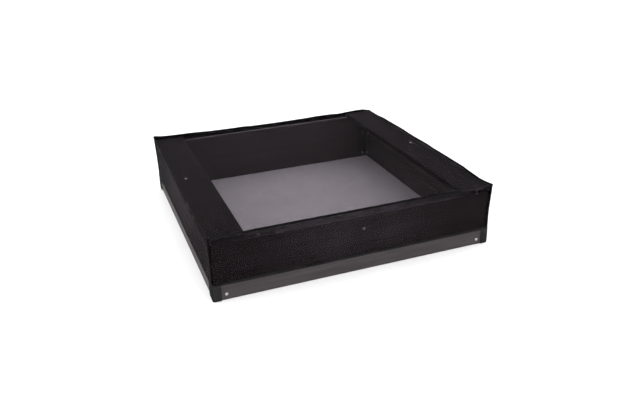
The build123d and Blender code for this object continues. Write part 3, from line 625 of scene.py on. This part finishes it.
# skirt: one loop with soft corners
stations, total = ring(SKIRT_OFF, TOP_R)
low_st, _ = ring(SKIRT_OFF, LOW_R)
rows, dens, painted_sheen = [], [], []
M = 28
for q, ql in zip(stations, low_st):
    zt = top_at(q) - 5 * MM
    zb = HEM_LO + 5 * MM
    r = []
    gap = corner_gap(q[0], q[1])
    for k in range(M + 1):
        v = k / M
        z = zb + (zt - zb) * v
        t = float(smooth(.35, 1, v))
        x, y = q[0] * t + ql[0] * (1 - t), q[1] * t + ql[1] * (1 - t)
        nx, ny = q[2], q[3]
        o = 1.0 * n3(x * 8, y * 8, z * 7) + .45 * n3(x * 24, y * 24, z * 13 + 5)
        o += 1.5 * math.exp(-gap / .045) * n3(x * 40, y * 40, z * 9 + 3)
        o += 1.4 * pucker(x, y) * math.exp(-(z - HEM_HI) / .016) if z > HEM_HI else 1.4 * pucker(x, y)
        free = 1.0 if q[4] in (0, 2) and abs(q[5]) < SEAT_IN else .35
        o += .8 * n3(x * 60, y * 60, 9.0) * math.exp(-(zt - z) / .012)
        o += 1.7 * free * (.35 + .65 * abs(n3(x * 3.1, y * 3.1, 4.0)) * 2.2) * n3(x * 17, y * 17, z * 60 + x * 9) * math.exp(-((zt - z) / .028) ** 2)
        o = max(-1.7, min(4.5, o)) * MM + pull_out(q) * t
        o -= lean(q[4], q[5]) * float(smooth(WALL_TOP, WALL_TOP + .026, z))
        sewn = float(smooth(9 * MM, 3 * MM, zt - z))
        o = o * (1 - sewn) + (seam_off(q) + SEAM_OFF - SKIRT_OFF) * sewn
        o = max(o, least(x, y, nx, ny, 1.5 * MM))
        r.append((x + nx * o, y + ny * o, z))
        dens.append(max(.92 * math.exp(-(max(0, gap - .004) / .006) ** 2), .13 * (1 - float(smooth(.10, .50, gap)))))
        # painted light: the skirt's colour is lighter towards the middle of each side, a painted sheen; the left
        # side gets less of it, a painted shade
        painted_sheen.append((.3 if q[4] == 3 else 1.0) * float(smooth(.16, .56, gap + .05 * n3(x * 5, y * 5, z * 5))))
    rows.append(r)
arc = [q[7] for q in stations] + [total]
skirt = loop_mesh("net_skirt", rows, arc)
skirt.data.materials.append(NET)
at = skirt.data.attributes.new("dense", "FLOAT", "POINT")
at.data.foreach_set("value", dens)
at = skirt.data.attributes.new("wear_tone_and_light", "FLOAT", "POINT")
at.data.foreach_set("value", painted_sheen)
shell(skirt, .7 * MM)

# facing behind the top of the skirt
fst, ftotal = ring(FACE_OFF, TOP_R)
rows = []
for q in fst:
    zt = top_at(q) - 5.5 * MM
    r = []
    for k in range(6):
        z = FACE_LO + (zt - FACE_LO) * k / 5
        o = .35 * MM * n3(q[0] * 30, q[1] * 30, z * 40) + pull_out(q) * k / 5
        o -= lean(q[4], q[5]) * float(smooth(WALL_TOP, WALL_TOP + .026, z)) * .9
        o = max(o, least(*q[:4], .6 * MM))
        r.append((q[0] + q[2] * o, q[1] + q[3] * o, z))
    rows.append(r)
facing = loop_mesh("net_facing", rows, [q[7] for q in fst] + [ftotal])
facing.data.materials.append(FACING)
# the back length is of closer cloth, so that it hides the light behind it
close = [1.0 if q[1] > HALF - .02 else 0.0 for q in fst for _ in range(6)]
at = facing.data.attributes.new("dense", "FLOAT", "POINT")
at.data.foreach_set("value", [.95 * v for v in close])
at = facing.data.attributes.new("wear_tone_and_light", "FLOAT", "POINT")
at.data.foreach_set("value", [1 - v for v in close])
at = facing.data.attributes.new("backed", "FLOAT", "POINT")
at.data.foreach_set("value", [float(smooth(.452, .475, abs(q[0]))) if q[1] < -HALF + .02 else 0.0 for q in fst for _ in range(6)])
shell(facing, .6 * MM)

# seam: a folded tape standing along the top edge
rows, tape_painted_light_mask = [], []
for q in sst:
    zt = top_at(q) + .7 * MM * n3(q[0] * 55, q[1] * 55, 3.0)
    tall = tall_at(q) + 1.0 * MM * n3(q[0] * 17, q[1] * 17, 6.0)
    under = float(smooth(.43, .49, abs(q[0]))) * (1 - q[6]) if q[4] == 0 else q[6] * (q[4] == 3)
    thick = (2.0 - .6 * under) * MM + .3 * MM * n3(q[0] * 29, q[1] * 29, 8.0)
    # painted light: this mask lightens the tape's colour near its front ends
    tape_painted_light_mask += [under * (.95 if q[0] > 0 else .5)] * 12
    off = seam_off(q)
    r = []
    for a, b in ((-.55, 0), (-.95, .12), (-1, .45), (-1.05, .75), (-.8, .93), (-.3, 1), (.3, 1), (.8, .93),
                 (1.05, .75), (1, .45), (.95, .12), (.55, 0)):
        o = off + a * thick
        r.append((q[0] + q[2] * o, q[1] + q[3] * o, zt - tall + tall * b))
    rows.append(r)
seam = loop_mesh("net_seam_tape", rows, [q[7] for q in sst] + [stotal], closed_section=True)
seam.data.materials.append(TAPE)
at = seam.data.attributes.new("wear_tone_and_light", "FLOAT", "POINT")
at.data.foreach_set("value", tape_painted_light_mask)

# hem: a gathered channel round the bottom
hst, htotal = ring(HEM_OFF, LOW_R, step=.005, turn=8)
rows = []
for q in hst:
    pk = pucker(q[0], q[1])
    lift = 1.0 * MM * n3(q[0] * 12, q[1] * 12, 2.0) + 1.6 * MM * pk
    thick = .95 * MM + .55 * MM * pk
    off = -.3 * MM + 1.1 * MM * pk + .5 * MM * n3(q[0] * 21, q[1] * 21, 5.0)
    off = max(off, least(*q[:4], 1.1 * thick + .4 * MM))
    r = []
    h = HEM_HI - HEM_LO
    for a, b in ((-.5, 0), (-1, .12), (-1.1, .4), (-.9, .75), (-.5, 1), (.5, 1), (.9, .75), (1.1, .4), (1, .12), (.5, 0)):
        o = off + a * thick
        r.append((q[0] + q[2] * o, q[1] + q[3] * o, HEM_LO + lift + h * b))
    rows.append(r)
hem = loop_mesh("net_hem", rows, [q[7] for q in hst] + [htotal], closed_section=True)
hem.data.materials.append(HEMTAPE)

# straps: short pieces of webbing round the corners, under the hem
straps = {}
for fb, sy in (("front", -1), ("back", 1)):
    for lr, sx in (("left", -1), ("right", 1)):
        n = f"corner_strap_{fb}_{lr}"
        lo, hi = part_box(n)
        e = max(abs(lo.x), abs(hi.x)) - .8 * MM
        inx, iny = min(abs(lo.x), abs(hi.x)), min(abs(lo.y), abs(hi.y))
        rr = 9 * MM
        path = [(inx + (e - rr - inx) * t, e, 0, 1) for t in np.linspace(0, 1, 9)[:-1]]
        for k in range(9):
            w = math.pi / 2 * k / 8
            path.append((e - rr + rr * math.sin(w), e - rr + rr * math.cos(w), math.sin(w), math.cos(w)))
        path += [(e, e - rr + (iny - e + rr) * t, 1, 0) for t in np.linspace(0, 1, 13)[1:]]
        s = [0.0]
        for a, b in zip(path, path[1:]):
            s.append(s[-1] + math.hypot(b[0] - a[0], b[1] - a[1]))
        verts, faces, uvs, R = [], [], [], 12
        for k, (px, py, nx, ny) in enumerate(path):
            endz = .8 * MM * n3(px * 60, py * 60, sx + 2 * sy)
            for j in range(R + 1):
                v = j / R
                z = lo.z + (HEM_LO + 4 * MM - lo.z) * v
                if j == 0:
                    z += max(0, endz)
                o = .9 * MM * math.sin(math.pi * v) * (.6 + .8 * n3(px * 22, py * 22, z * 22 + sx * 3 + sy))
                o += .25 * MM * n3(px * 90, py * 90, z * 70)
                o = max(-.3 * MM, o, least(px, py, nx, ny, 1.1 * MM))
                verts.append((sx * (px + nx * o), sy * (py + ny * o), z))
        for k in range(len(path) - 1):
            for j in range(R):
                a = k * (R + 1) + j
                q = (a, a + R + 1, a + R + 2, a + 1)
                uv = [(s[k], j / R * .062), (s[k + 1], j / R * .062), (s[k + 1], (j + 1) / R * .062), (s[k], (j + 1) / R * .062)]
                if sx * sy > 0:
                    q, uv = q[::-1], uv[::-1]
                faces.append(q)
                uvs.append(uv)
        ob = make(f"strap_{fb}_{lr}", verts, faces, uvs)
        ob.data.materials.append(STRAP)
        shell(ob, 1.3 * MM)
        straps[n] = (ob, s[-1], HEM_LO + 4 * MM - lo.z)

SIDES = ("front", "back", "left", "right")
for ob in (top, skirt, facing, seam, hem, *[v[0] for v in straps.values()]):
    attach(ob, "cover")
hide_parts("cover_top_panel")
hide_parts(*["cover_skirt_" + s for s in SIDES])
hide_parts(*["cover_facing_" + s for s in SIDES])
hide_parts(*["cover_seam_" + s for s in SIDES])
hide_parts(*["cover_hem_" + s for s in SIDES], "cover_hem_elastic")
for n, (ob, w, h) in straps.items():
    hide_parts(n)

# ---------------------------------------------------------------- floor, light, camera
me = bpy.data.meshes.new("floor")
g, span = 24, 30.0
fv = [(-span + 2 * span * i / g, -span + 2 * span * j / g, -.0005) for j in range(g + 1) for i in range(g + 1)]
ff = [(j * (g + 1) + i, j * (g + 1) + i + 1, (j + 1) * (g + 1) + i + 1, (j + 1) * (g + 1) + i) for j in range(g) for i in range(g)]
me.from_pydata(fv, [], ff)
floor = bpy.data.objects.new("floor", me)
scene.collection.objects.link(floor)
m, nt = mat("pale_floor")
f_n = noise_of(nt, stretched(nt, (1, 1, 1)), 3, 3, .5)
f_c = ramp(nt, f_n, [(.3, (.93, .93, .93)), (.7, (.96, .96, .96))])
fb_ = node(nt, "ShaderNodeBsdfPrincipled", in_Roughness=.9)
fb_.inputs["Specular IOR Level"].default_value = .1
nt.links.new(f_c.outputs[0], fb_.inputs["Base Color"])
fo = node(nt, "ShaderNodeOutputMaterial")
nt.links.new(fb_.outputs[0], fo.inputs[0])
me.materials.append(m)

world = bpy.data.worlds.new("studio")
scene.world = world
world.use_nodes = True
bg = world.node_tree.nodes["Background"]
bg.inputs[0].default_value = (1, 1, 1, 1)
bg.inputs[1].default_value = 1.75


def area(name, loc, target, size, watts):
    d = bpy.data.lights.new(name, "AREA")
    d.shape, d.size, d.energy = "DISK", size, watts
    ob = bpy.data.objects.new(name, d)
    scene.collection.objects.link(ob)
    ob.location = loc
    ob.rotation_mode = "QUATERNION"
    ob.rotation_quaternion = (Vector(target) - Vector(loc)).to_track_quat("-Z", "Y")
    return ob


area("key_left", (-4.2, .1, 2.6), (0, 0, .15), 3.6, 5)

yaw, pitch, roll = math.radians(-20.79), math.radians(24.46), math.radians(-1.39)
fwd = Vector((-math.sin(yaw) * math.cos(pitch), math.cos(yaw) * math.cos(pitch), -math.sin(pitch)))
right = Vector((math.cos(yaw), math.sin(yaw), 0))
up = right.cross(fwd)
r2 = math.cos(roll) * right + math.sin(roll) * up
u2 = -math.sin(roll) * right + math.cos(roll) * up
cd = bpy.data.cameras.new("camera")
cd.sensor_width, cd.lens, cd.clip_start, cd.clip_end = 36.0, 38.27, .05, 100
cam = bpy.data.objects.new("camera", cd)
scene.collection.objects.link(cam)
cam.matrix_world = Matrix((
    (r2.x, u2.x, -fwd.x, -.992), (r2.y, u2.y, -fwd.y, -2.782), (r2.z, u2.z, -fwd.z, 1.404), (0, 0, 0, 1)))
scene.camera = cam

scene.view_settings.view_transform = "Standard"
scene.cycles.use_denoising = True
scene.cycles.transparent_max_bounces = 32
